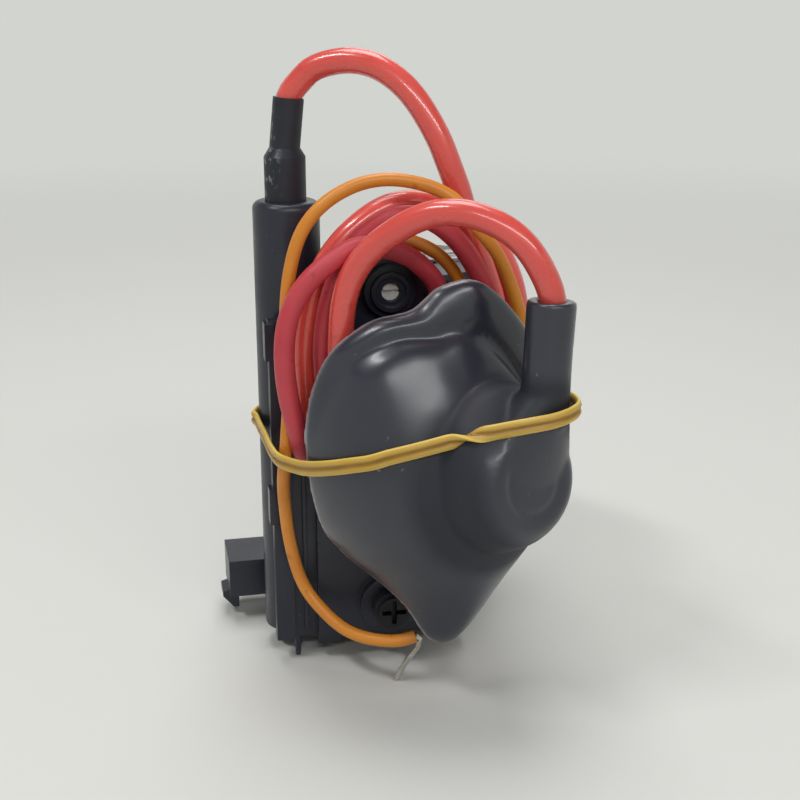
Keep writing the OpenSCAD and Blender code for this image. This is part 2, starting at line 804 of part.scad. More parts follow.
module rubber_band() {
    n = len(band_route);
    rows = [for (j = [0:n - 1])
        let(p = band_route[j], t = unit(band_route[(j + 1) % n] - band_route[(j + n - 1) % n]),
            u = unit(cross(t, [0, 0, 1])), v = cross(u, t))
        [p - u * band_t / 2 - v * band_w / 2, p + u * band_t / 2 - v * band_w / 2,
            p + u * band_t / 2 + v * band_w / 2, p - u * band_t / 2 + v * band_w / 2]];
    color([0.8, 0.64, 0.22])
        polyhedron(
            points = flat(rows),
            faces = [for (j = [0:n - 1]) for (i = [0:3]) each
                let(k = (j + 1) % n, e = (i + 1) % 4)
                [[j * 4 + i, j * 4 + e, k * 4 + e], [j * 4 + i, k * 4 + e, k * 4 + i]]],
            convexity = 10
        );
}

main_case();
control_case();
focus_knob();
screen_knob();
focus_wiper();
screen_wiper();
resistor_board();
control_resin();
primary_bobbin();
primary_winding();
hv_bobbin();
hv_winding();
rectifier_diodes();
potting_resin();
terminal_pins();
upper_core();
lower_core();
gap_spacer();
core_clip();
column_resistor();
lead_sleeve();
anode_lead_arch();
anode_lead_tail();
lead_bundle();
screen_lead_tail();
screen_lead_tip();
anode_cap();
anode_clip();
rubber_band();
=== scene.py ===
"""Flyback transformer: camera, studio, leads, rubber cap and band, and every piece's finish."""

import json
import math

import bmesh
import bpy
import numpy as np
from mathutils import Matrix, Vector

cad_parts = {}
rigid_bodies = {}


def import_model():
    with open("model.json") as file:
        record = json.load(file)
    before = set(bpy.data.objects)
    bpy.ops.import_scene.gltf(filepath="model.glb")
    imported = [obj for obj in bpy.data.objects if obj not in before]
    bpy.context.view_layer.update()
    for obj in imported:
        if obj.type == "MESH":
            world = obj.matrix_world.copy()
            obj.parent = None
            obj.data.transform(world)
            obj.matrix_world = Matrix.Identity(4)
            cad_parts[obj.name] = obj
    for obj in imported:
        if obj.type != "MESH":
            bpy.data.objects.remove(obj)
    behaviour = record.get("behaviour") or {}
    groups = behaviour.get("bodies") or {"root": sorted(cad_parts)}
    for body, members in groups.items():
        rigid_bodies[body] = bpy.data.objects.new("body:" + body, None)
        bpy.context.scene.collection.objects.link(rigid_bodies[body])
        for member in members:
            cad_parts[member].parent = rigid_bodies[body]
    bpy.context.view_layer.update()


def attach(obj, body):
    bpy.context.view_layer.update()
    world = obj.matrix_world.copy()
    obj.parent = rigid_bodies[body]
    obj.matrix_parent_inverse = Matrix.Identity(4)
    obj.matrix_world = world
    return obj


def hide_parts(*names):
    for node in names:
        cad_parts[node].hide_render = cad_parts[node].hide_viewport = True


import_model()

MM = 0.001
BODY = "transformer"

# Sizes of the part and places on it are in millimetres, colours in 0 to 255 steps.

# Camera: the place and direction, in degrees, from which the photograph sees the part.
CAMERA_AT = (-60.3, -280.4, 132.4)
CAMERA_TILT, CAMERA_TURN = 72.5, -12.0
CAMERA_LENS, CAMERA_SENSOR = 58.5, 36.0
CAMERA_CLIP = (0.01, 20.0)

# Studio, in metres and watts. The paper is plain and lit near the part, and further out it has
# the even colour of the backdrop.
FLOOR_Z = -0.005
SWEEP_FLAT, SWEEP_BEND, SWEEP_WALL, SWEEP_SIDES = 1.6, 0.5, 1.2, 72
PAPER, PAPER_ROUGH, PAPER_SPECULAR = (216, 216, 212), 0.75, 0.2
BACKDROP = (210, 212, 207)
PAPER_NEAR, PAPER_FAR = 0.12, 0.9
WORLD_COLOUR, WORLD_STRENGTH = (226, 228, 226), 0.26
LAMP_TARGET = (-0.005, -0.03, 0.05)
LAMPS = (  # name, place, width, height, power
    ("front", (0.08, -0.76, 0.56), 0.8, 0.08, 2.7),
    ("left", (-0.58, -0.26, 0.98), 0.4, 0.1, 3.3),
    ("top", (0.0, 0.16, 0.95), 0.5, 0.5, 4.6),
    ("back", (0.3, 0.8, 0.7), 0.5, 0.5, 1.2),
)

# Leads: diameters, and routes as points chosen from the photograph. The anode lead goes
# from the sleeve over the arch, round in its turns and along the tail into the cap's boot. The
# screen lead goes round in its turns and then down to its stripped end.
ANODE_D, FOCUS_D, SCREEN_D = 5.0, 4.0, 2.6
LEAD_STEP, LEAD_RESOLUTION = 1.2, 7
ANODE_ARCH = [
    (-28.6, -21.3, 93.4), (-28.6, -21.3, 98), (-28.6, -21.3, 102.2), (-28.24, -21.3, 105.6),
    (-27.89, -21.3, 109), (-27.5, -21.3, 112.4), (-25.4, -22, 115.4),
    (-23.2, -22.8, 117.6), (-20.2, -24, 118.9), (-16.4, -25.8, 119.5), (-12.1, -28, 118.8),
    (-8.2, -30.2, 116.5), (-4.9, -32.2, 113), (-2.3, -33.8, 108.8), (-0.2, -35, 104.5),
    (1.4, -35.8, 100.2), (3.4, -36.3, 94.6),
]
ANODE_TURNS = [
    (5.1, -35.9, 88.8), (7.6, -35.2, 82.4), (9.6, -35, 77.2), (11, -34.9, 72.7), (11.4, -34.9, 65),
    (10.4, -35, 57), (7.2, -35, 48.8), (2, -35.1, 42.4), (-4.6, -35.3, 38.6), (-11, -35.4, 37.6),
    (-17.6, -35.6, 39.2), (-23, -35.8, 43.4), (-26.4, -36, 49.6), (-27.3, -36.2, 58.6),
    (-27.4, -36.2, 64.8), (-26.8, -35.9, 70.7), (-25.3, -35.3, 76.7), (-22.9, -34.7, 81.4),
    (-19.7, -34.4, 85.7), (-15.8, -34, 89.2), (-11.4, -33.4, 91.8), (-6.6, -32.6, 92.8),
    (-1.8, -31.8, 92.1), (2.8, -31, 90.6), (7.9, -30.8, 87.4), (11.7, -30.9, 83.7),
    (14.2, -31.2, 79.7), (15.9, -31.6, 75.2), (16.7, -32, 71.1), (16.9, -32.4, 67.2),
    (15.8, -33.2, 60), (14.6, -35.2, 52.4), (11, -38, 45.4), (5.6, -40.8, 40), (-1, -43.2, 36.8),
    (-7.4, -44.3, 36.2), (-13.2, -44.7, 39), (-17.6, -44.6, 43.8), (-20.4, -44.5, 49.4),
]
ANODE_TAIL = [
    (-21.8, -44.4, 62), (-21.6, -44.6, 70.7), (-20.2, -45.2, 79.7), (-16.8, -47.2, 86),
    (-12, -50, 90.6), (-6.9, -52.8, 93.6), (-1.7, -55.5, 94.4), (3, -57.6, 93.3),
    (6.9, -59.5, 91.2), (10.1, -61, 87.9), (12.4, -61.9, 84),
]
FOCUS_ROUTE = [
    (-5.6, -32.2, 50), (-5.4, -34, 52.6), (-4.6, -36, 57), (-3.4, -37.2, 63.4), (-1.8, -37.8, 70.4),
    (-1.4, -38.3, 77), (-3.6, -38.7, 80.3), (-6.9, -39.3, 83.2), (-10.9, -40.6, 85.2),
    (-15.1, -41.8, 86.3), (-18.8, -42.6, 86.1), (-22.5, -43, 84.2), (-25.9, -43.2, 81.8),
    (-28.6, -43.3, 78.9), (-30.6, -43.5, 75.5), (-31.9, -43.8, 71.6), (-32.4, -43.9, 67.1),
    (-32.2, -43.8, 61.2), (-31.3, -43.6, 55.5), (-29.9, -42.9, 49.8), (-28.6, -41.2, 45),
    (-25.2, -40.4, 40.2), (-20.8, -39.9, 36.8), (-15.4, -39.7, 35.2), (-9.6, -39.8, 35.8),
    (-4, -39.8, 38.6), (0.6, -39.8, 43.2), (4, -39.7, 49.2), (6.6, -39.8, 56.6), (8.3, -39.9, 65),
    (8.7, -39.9, 74.7), (6.2, -39.9, 80.2), (3.3, -39.9, 84.9), (-0.4, -39.9, 88.7),
    (-5.1, -40, 91.2), (-9.7, -39.6, 91.3), (-13.6, -38.6, 89.4), (-17.1, -38.3, 86.4),
    (-19.9, -38.8, 82.5), (-22.2, -39.4, 77.8), (-23.8, -39.9, 72.3), (-24.5, -40.3, 66.1),
    (-24.3, -40.4, 60.1), (-23.5, -40.1, 54.2), (-21.9, -39.8, 48.6),
]
SCREEN_TURNS = [
    (0.4, -32.2, 51), (0.6, -34, 53.6), (1.2, -35.6, 58), (2.2, -36.6, 64.6), (3.3, -36.9, 71),
    (3.3, -37, 77.7), (1.3, -37, 81), (-1.4, -37, 83.6), (-4.6, -37, 85.4), (-8, -37, 86.3),
    (-11.6, -37.2, 85.6), (-14.9, -37.7, 83.2), (-17.3, -38.4, 79.3), (-18.8, -39.1, 75.1),
    (-19.5, -39.7, 70.6), (-19.7, -40.3, 65.8), (-19.2, -41, 57), (-17.2, -42.2, 51),
    (-13.4, -43.6, 46.6), (-8.2, -44.1, 44.4), (-2.2, -44.2, 44.6), (3.6, -44, 47.4),
    (8.6, -43.6, 52.4), (12, -43.2, 58.6), (13.8, -42.9, 64.8), (14.3, -42.8, 71.1),
    (12.8, -42.9, 76.2), (10.3, -43.4, 82.1), (7.3, -44.1, 86.6), (3.7, -43.8, 90.9),
    (1.3, -42.6, 94.2), (-2, -41.6, 96.4), (-6.1, -40.9, 97.8), (-10.6, -40.3, 98.5),
    (-15.5, -39.8, 98.1), (-20.2, -39.6, 96.4), (-24.4, -39.6, 93.6), (-27.9, -39.7, 89.3),
    (-29.9, -39.9, 84.1), (-31.1, -40, 77.7), (-31.5, -40.2, 71.3), (-31.4, -40.4, 64.6),
    (-31.3, -40.3, 57.7),
]
SCREEN_TAIL = [
    (-31.7, -40.4, 52), (-32.3, -40.4, 45.5), (-32.6, -38.2, 39.5), (-32.2, -35.6, 33),
    (-31.6, -34.6, 26.9), (-30.5, -34.8, 20.4), (-28.3, -36, 13.8), (-25, -38.5, 9.5),
    (-20.9, -41.4, 6.3), (-14.6, -45.2, 5.2), (-9.8, -46.6, 5.5), (-7.4, -46.8, 6.2),
]

# Cap: the rim that is pressed against the leads, then the hub and its collar, which is wider
# above than below.
RIM = [
    (-29.5, -47.5, 52.6), (-25.9, -48.5, 66.1), (-17.9, -49.5, 73.4), (-9.6, -50, 75.6),
    (-3.9, -50, 79.9), (3.8, -49.6, 80.3), (12.9, -46, 71.5), (19, -41, 60), (20, -38.5, 46),
    (17, -40.5, 33), (8.5, -46.5, 19.5), (-1.1, -52.2, 8.7), (-6.4, -53, 8.8),
    (-11.1, -51.6, 15.9), (-16.9, -49.8, 21.8), (-23, -48.4, 27.3), (-27.5, -47.6, 35),
]
CAP_AXIS = Vector((0.43, -0.885, 0.17)).normalized()
HUB_TOP = Vector((10.2, -68, 46.2))
HUB_H, HUB_R, COLLAR_R, COLLAR_EGG = 10.0, 10.6, 14.5, 4.0
CAP_SIDE = Vector((0, 0, 1)).cross(CAP_AXIS).normalized()
CAP_UP = CAP_AXIS.cross(CAP_SIDE)
COLLAR_FOOT = HUB_TOP - HUB_H * CAP_AXIS
HUB_PROFILE = (  # radius, height and share of the collar's extra width, from the collar inwards
    (COLLAR_R - 0.2, 1, 0.98), (COLLAR_R - 0.5, 2.4, 0.92), (COLLAR_R - 0.9, 3.8, 0.82),
    (COLLAR_R - 1.5, 5.2, 0.68), (COLLAR_R - 2.2, 6.6, 0.5), (COLLAR_R - 3, 7.8, 0.3),
    (HUB_R + 0.2, 8.7, 0.12), (HUB_R - 0.5, 9.4, 0), (HUB_R - 1.2, HUB_H - 0.2, 0),
    (HUB_R - 2, HUB_H, 0), (HUB_R - 3.6, HUB_H - 0.05, 0), (HUB_R - 4.1, HUB_H - 0.4, 0),
    (HUB_R - 4.8, HUB_H - 0.45, 0), (HUB_R - 5.4, HUB_H - 0.1, 0), (1.5, HUB_H - 0.05, 0),
)
HUB_LINING = ((1.5, 0.4), (COLLAR_R - 7, 0.4), (COLLAR_R - 3, -0.6))  # radius and height
# Skirt: its wall, the middle that the wall is measured towards, and how far its curve leaves the
# rim and the collar, on the right and on the left. A lobe low on the right swells out further,
# LOBE_TURN radians below the side.
SKIRT_T, CAP_DEPTH = 1.7, 26.0
CAP_HEART = COLLAR_FOOT - CAP_DEPTH * CAP_AXIS
RIM_RISE, RIM_LEAN = (2.5, 7.5), (0.0, 1.5)
COLLAR_BULGE, COLLAR_DROP = (2.5, 9.0), (5.0, 3.0)
LOBE_OUT, LOBE_TURN = 3.0, 0.8
# Fold between the dome and the brim: its place from rim to collar and its depth, by the angle
# round the hub, and its spread on either side.
FOLD_PLACE = ((45, 65, 95, 135, 155), (0.86, 0.72, 0.52, 0.24, 0.16))
FOLD_DEPTH = ((35, 60, 100, 140, 165), (0, 1.9, 1.7, 0.9, 0))
FOLD_TO_RIM, FOLD_TO_COLLAR = 0.06, 0.13
# Boot: the stem as points and radii, and two discs in the hub that its root flares out to.
BOOT_TOP, BOOT_FOOT = Vector((14.1, -62.2, 79.1)), Vector((12.6, -63.2, 49.4))
BOOT_R, BOOT_BORE_R, BOOT_DEPTH, FLARE_H = 4.6, 2.52, 14.0, 12.6
BOOT_DIR = (BOOT_TOP - BOOT_FOOT).normalized()
BOOT_KNEE = BOOT_FOOT + FLARE_H * BOOT_DIR
BOOT_STEM = (
    (BOOT_TOP, BOOT_R - 0.3), (BOOT_TOP - 0.5 * BOOT_DIR, BOOT_R),
    (BOOT_TOP - 9 * BOOT_DIR, BOOT_R - 0.1), (BOOT_KNEE, BOOT_R),
    (BOOT_KNEE - 6 * BOOT_DIR, BOOT_R), (BOOT_KNEE - 8 * BOOT_DIR, BOOT_R - 1.5),
)
FLARE_DISCS = ((HUB_R + 0.6, 1.6), (HUB_R + 0.4, 7.6))
# Mesh and marks of the cap: voxels, rounds of smoothing, the painted highlight along the rim, and
# the dull shoulder, which also carries painted shade.
CAP_VOXEL, CAP_SMOOTHING = 0.5, 5
RIM_HIGHLIGHT_MOST, RIM_HIGHLIGHT_FADE = 1.8, 0.9
SHOULDER_IN, SHOULDER_IN_FADE, SHOULDER_OUT, SHOULDER_OUT_FADE = 9.5, 2.5, 20.8, 3.0

# Band: two strands round the column, the leads and the cap. They cross over between the numbered
# points of the route, once on the front of the cap and once at the back.
BAND_W, BAND_T = 3.0, 1.3
# Section: its thickness in the groove between the strands as a share of the whole and how fast it
# grows from there, and the two steps in which the colour turns pale from the painted shade of the
# groove outwards.
BAND_WAIST, BAND_LOBE = 0.35, 2.4
BAND_SHADE_STEPS = ((0.1, 0.5), (0.7, 1.0))
BAND_TWISTS = ((13.7, 15.1), (27.3, 28.7))
BAND_ROUTE = [
    (-35.25, -18, 47.2), (-35.9, -23.4, 46.9), (-35.3, -32.4, 46.2), (-34.8, -38.6, 45.5),
    (-33.7, -43.2, 45.1), (-30.9, -47.9, 45.3), (-29.7, -50.2, 45.8), (-28.2, -52.7, 46.5),
    (-25.5, -56.3, 47.8), (-22.6, -59.3, 49.1), (-19.3, -61.8, 50.3), (-16, -63.4, 51.7),
    (-12.3, -64.5, 52.8), (-8.6, -65.2, 53.8), (-4.4, -66.1, 55), (2.2, -67.7, 56.6),
    (8.8, -69, 57.9), (12.7, -69, 58.4), (16, -68.1, 58.9), (18.7, -65.7, 59.3),
    (19.4, -62, 59.4), (19.8, -57, 58.6), (20.6, -50, 57),
    (21.6, -42, 55), (22.6, -34, 52.4), (22.8, -21, 49.6), (22.8, -8, 47), (21.7, 4, 45.8),
    (17.9, 14.2, 45), (7.6, 31.8, 44.6), (0, 33.9, 44.4), (-7.6, 31.9, 44.6), (-21.9, 6, 45.7),
]

# Finish of each CAD node that is seen as it is.
NODE_FINISH = {
    "case_black": ["main_case", "control_case"],
    "rotor_grey": ["focus_knob"],
    "knob_black": ["screen_knob"],
    "contact_bronze": ["focus_wiper", "screen_wiper"],
    "ceramic_white": ["resistor_board"],
    "resin_dark": ["control_resin", "potting_resin", "rectifier_diodes"],
    "bobbin_dark": ["primary_bobbin"],
    "copper": ["primary_winding", "hv_winding"],
    "bobbin_cream": ["hv_bobbin"],
    "tinned_metal": ["terminal_pins", "screen_lead_tip", "anode_clip"],
    "ferrite": ["upper_core", "lower_core"],
    "spacer_tan": ["gap_spacer"],
    "clip_steel": ["core_clip"],
    "resistor_blue": ["column_resistor"],
    "sleeve_black": ["lead_sleeve"],
}


# Camera, floor and light


def linear(rgb):
    """A colour given in 0 to 255 steps, as the linear values that a shader takes."""
    steps = [c / 255 for c in rgb]
    return [c / 12.92 if c <= 0.04045 else ((c + 0.055) / 1.055) ** 2.4 for c in steps] + [1.0]


def add_object(name, data):
    obj = bpy.data.objects.new(name, data)
    bpy.context.collection.objects.link(obj)
    return obj


def combine(tree, operation, a, b):
    """What a math node makes of two sockets."""
    node = tree.nodes.new("ShaderNodeMath")
    node.operation = operation
    tree.links.new(a, node.inputs[0])
    tree.links.new(b, node.inputs[1])
    return node.outputs["Value"]


def make_camera():
    """The camera that looks at the part as the photograph does."""
    data = bpy.data.cameras.new("camera")
    data.lens, data.sensor_width = CAMERA_LENS, CAMERA_SENSOR
    data.clip_start, data.clip_end = CAMERA_CLIP
    cam = add_object("camera", data)
    cam.location = [c * MM for c in CAMERA_AT]
    cam.rotation_euler = (math.radians(CAMERA_TILT), 0, math.radians(CAMERA_TURN))
    bpy.context.scene.camera = cam
    bpy.context.scene.view_settings.view_transform = "Standard"


def area_light(name, at, width, height, power):
    """A flat lamp that faces the part."""
    data = bpy.data.lights.new(name, "AREA")
    data.shape, data.size, data.size_y, data.energy = "RECTANGLE", width, height, power
    lamp = add_object(name, data)
    lamp.location = at
    lamp.rotation_euler = (Vector(LAMP_TARGET) - Vector(at)).to_track_quat("-Z", "Y").to_euler()


def make_sweep():
    """A round sheet of pale paper, flat under the part and turned up at its rim."""
    profile = [(SWEEP_FLAT, 0.0)]
    for a in np.linspace(0.1, math.pi / 2, 14):
        profile.append((SWEEP_FLAT + SWEEP_BEND * math.sin(a), SWEEP_BEND * (1 - math.cos(a))))
    profile.append((SWEEP_FLAT + SWEEP_BEND, SWEEP_WALL))
    verts = [(r * math.cos(a), r * math.sin(a), z + FLOOR_Z) for r, z in profile
             for a in np.linspace(0, 2 * math.pi, SWEEP_SIDES, endpoint=False)]
    faces = [tuple(range(SWEEP_SIDES))]
    for j in range(len(profile) - 1):
        ring, above = j * SWEEP_SIDES, (j + 1) * SWEEP_SIDES
        for i in range(SWEEP_SIDES):
            k = (i + 1) % SWEEP_SIDES
            faces.append((ring + i, above + i, above + k, ring + k))
    mesh = bpy.data.meshes.new("floor")
    mesh.from_pydata(verts, [], faces)
    mesh.shade_smooth()
    mesh.materials.append(make_paper())
    add_object("floor", mesh)


def make_paper():
    """Plain lit paper near the part. Further out, what looks at it sees its even pale colour."""
    mat = bpy.data.materials.new("floor_paper")
    mat.use_nodes = True
    nodes, links = mat.node_tree.nodes, mat.node_tree.links
    shader = nodes["Principled BSDF"]
    shader.inputs["Base Color"].default_value = linear(PAPER)
    shader.inputs["Roughness"].default_value = PAPER_ROUGH
    shader.inputs["Specular IOR Level"].default_value = PAPER_SPECULAR
    glow = nodes.new("ShaderNodeEmission")
    glow.inputs["Color"].default_value = linear(BACKDROP)
    away = nodes.new("ShaderNodeVectorMath")
    away.operation = "LENGTH"
    links.new(nodes.new("ShaderNodeNewGeometry").outputs["Position"], away.inputs[0])
    far = nodes.new("ShaderNodeMapRange")
    far.interpolation_type = "SMOOTHSTEP"
    far.inputs["From Min"].default_value = PAPER_NEAR
    far.inputs["From Max"].default_value = PAPER_FAR
    links.new(away.outputs["Value"], far.inputs["Value"])
    path = nodes.new("ShaderNodeLightPath")
    seen = path.outputs["Is Camera Ray"]
    for ray in ("Is Glossy Ray", "Is Transmission Ray"):
        seen = combine(mat.node_tree, "MAXIMUM", seen, path.outputs[ray])
    amount = combine(mat.node_tree, "MULTIPLY", seen, far.outputs["Result"])
    mix = nodes.new("ShaderNodeMixShader")
    links.new(amount, mix.inputs[0])
    links.new(shader.outputs["BSDF"], mix.inputs[1])
    links.new(glow.outputs["Emission"], mix.inputs[2])
    links.new(mix.outputs["Shader"], nodes["Material Output"].inputs["Surface"])
    return mat


def make_studio():
    """The sweep, the lamps and a pale world."""
    make_sweep()
    for lamp in LAMPS:
        area_light(*lamp)
    world = bpy.data.worlds.new("studio")
    world.use_nodes = True
    bpy.context.scene.world = world
    shade = world.node_tree.nodes["Background"]
    shade.inputs["Color"].default_value = linear(WORLD_COLOUR)
    shade.inputs["Strength"].default_value = WORLD_STRENGTH


# Materials


class Finish:
    """A procedural material: mottled colour, uneven roughness, fine bump, specks, and painted light
    and shade laid by mesh attributes.
    """

    SPECK_EDGE, SCUFF_EDGE = 0.04, 0.08
    NOISE_RANGE = (0.3, 0.7)

    def __init__(self, name, colour, rough=0.5, **shader_values):
        self.name, self.mat = name, bpy.data.materials.new(name)
        self.mat.use_nodes = True
        self.nodes, self.links = self.mat.node_tree.nodes, self.mat.node_tree.links
        self.shader = self.nodes["Principled BSDF"]
        self.base, self.colour = linear(colour), None
        self.shader.inputs["Base Color"].default_value = self.base
        self.shader.inputs["Roughness"].default_value = rough
        for socket, value in shader_values.items():
            self.shader.inputs[socket.replace("_", " ")].default_value = value
        self.place = self.nodes.new("ShaderNodeTexCoord").outputs["Object"]

    def noise(self, scale, detail=3, stretch=None):
        """Noise of a scale per metre, with its detail and a factor on the scale for each axis."""
        tex = self.nodes.new("ShaderNodeTexNoise")
        tex.inputs["Scale"].default_value = scale
        tex.inputs["Detail"].default_value = detail
        place = self.place
        if stretch:
            mapping = self.nodes.new("ShaderNodeMapping")
            mapping.inputs["Scale"].default_value = stretch
            self.links.new(place, mapping.inputs["Vector"])
            place = mapping.outputs["Vector"]
        self.links.new(place, tex.inputs["Vector"])
        return tex.outputs["Fac"]

    def ramp(self, value, low, high, a=0.0, b=1.0):
        """A value that runs from a to b while the given one goes from low to high."""
        node = self.nodes.new("ShaderNodeMapRange")
        for socket, x in (("From Min", low), ("From Max", high), ("To Min", a), ("To Max", b)):
            node.inputs[socket].default_value = x
        self.links.new(value, node.inputs["Value"])
        return node.outputs["Result"]

    def attribute(self, name):
        node = self.nodes.new("ShaderNodeAttribute")
        node.attribute_name = name
        return node.outputs["Fac"]

    def over(self, colour, amount):
        """Lays a second colour over the first where amount says."""
        mix = self.nodes.new("ShaderNodeMix")
        mix.data_type = "RGBA"
        if self.colour is None:
            mix.inputs["A"].default_value = self.base
        else:
            self.links.new(self.colour, mix.inputs["A"])
        mix.inputs["B"].default_value = linear(colour)
        self.links.new(amount, mix.inputs["Factor"])
        self.colour = mix.outputs["Result"]
        self.links.new(self.colour, self.shader.inputs["Base Color"])
        return self

    def mottle(self, colour, scale=120, low=0.4, high=0.7, most=0.8, stretch=None):
        return self.over(colour, self.ramp(self.noise(scale, 4, stretch), low, high, 0, most))

    def specks(self, colour, scale=500, cut=0.72, most=0.8):
        dots = self.noise(scale, 1)
        return self.over(colour, self.ramp(dots, cut, cut + self.SPECK_EDGE, 0, most))

    def scuffs(self, colour, side, scale=300, cut=0.6, most=0.7, stretch=None):
        """Short pale rub marks, on the side that lies below the range of x if one is given."""
        marks = self.noise(scale, 6, stretch)
        amount = self.ramp(marks, cut, cut + self.SCUFF_EDGE, 0, most)
        if side:
            apart = self.nodes.new("ShaderNodeSeparateXYZ")
            self.links.new(self.place, apart.inputs["Vector"])
            here = self.ramp(apart.outputs["X"], *side, 1, 0)
            amount = combine(self.mat.node_tree, "MULTIPLY", amount, here)
        return self.over(colour, amount)

    def uneven(self, low, high, scale=160):
        """Roughness that wanders between low and high."""
        value = self.ramp(self.noise(scale, 3), *self.NOISE_RANGE, low, high)
        self.links.new(value, self.shader.inputs["Roughness"])
        return self

    def bump(self, scale=900, strength=0.15, depth=0.05, soften=0.0, stretch=None):
        """Fine grain, on edges that the shader rounds by soften millimetres."""
        node = self.nodes.new("ShaderNodeBump")
        node.inputs["Strength"].default_value = strength
        node.inputs["Distance"].default_value = depth * MM
        self.links.new(self.noise(scale, 4, stretch), node.inputs["Height"])
        if soften:
            bevel = self.nodes.new("ShaderNodeBevel")
            bevel.samples = 6
            bevel.inputs["Radius"].default_value = soften * MM
            self.links.new(bevel.outputs["Normal"], node.inputs["Normal"])
        self.links.new(node.outputs["Normal"], self.shader.inputs["Normal"])
        return self

    def lay_painted_light(self, attribute, colour, most=0.7):
        """Lays a colour of painted light or shade where a named mesh attribute says."""
        return self.over(colour, self.ramp(self.attribute(attribute), 0, 1, 0, most))

    def dull(self, attribute, rough):
        """Takes off the coat and roughens the surface where a named mesh attribute says."""
        amount = self.attribute(attribute)
        coat, sheen = self.shader.inputs["Coat Weight"], self.shader.inputs["Roughness"]
        self.links.new(self.ramp(amount, 0, 1, coat.default_value, 0), coat)
        mix = self.nodes.new("ShaderNodeMix")
        self.links.new(amount, mix.inputs["Factor"])
        self.links.new(sheen.links[0].from_socket, mix.inputs["A"])
        mix.inputs["B"].default_value = rough
        self.links.new(mix.outputs["Result"], sheen)
        return self

    def paint(self, *objects):
        for obj in objects:
            obj.data.materials.clear()
            obj.data.materials.append(self.mat)


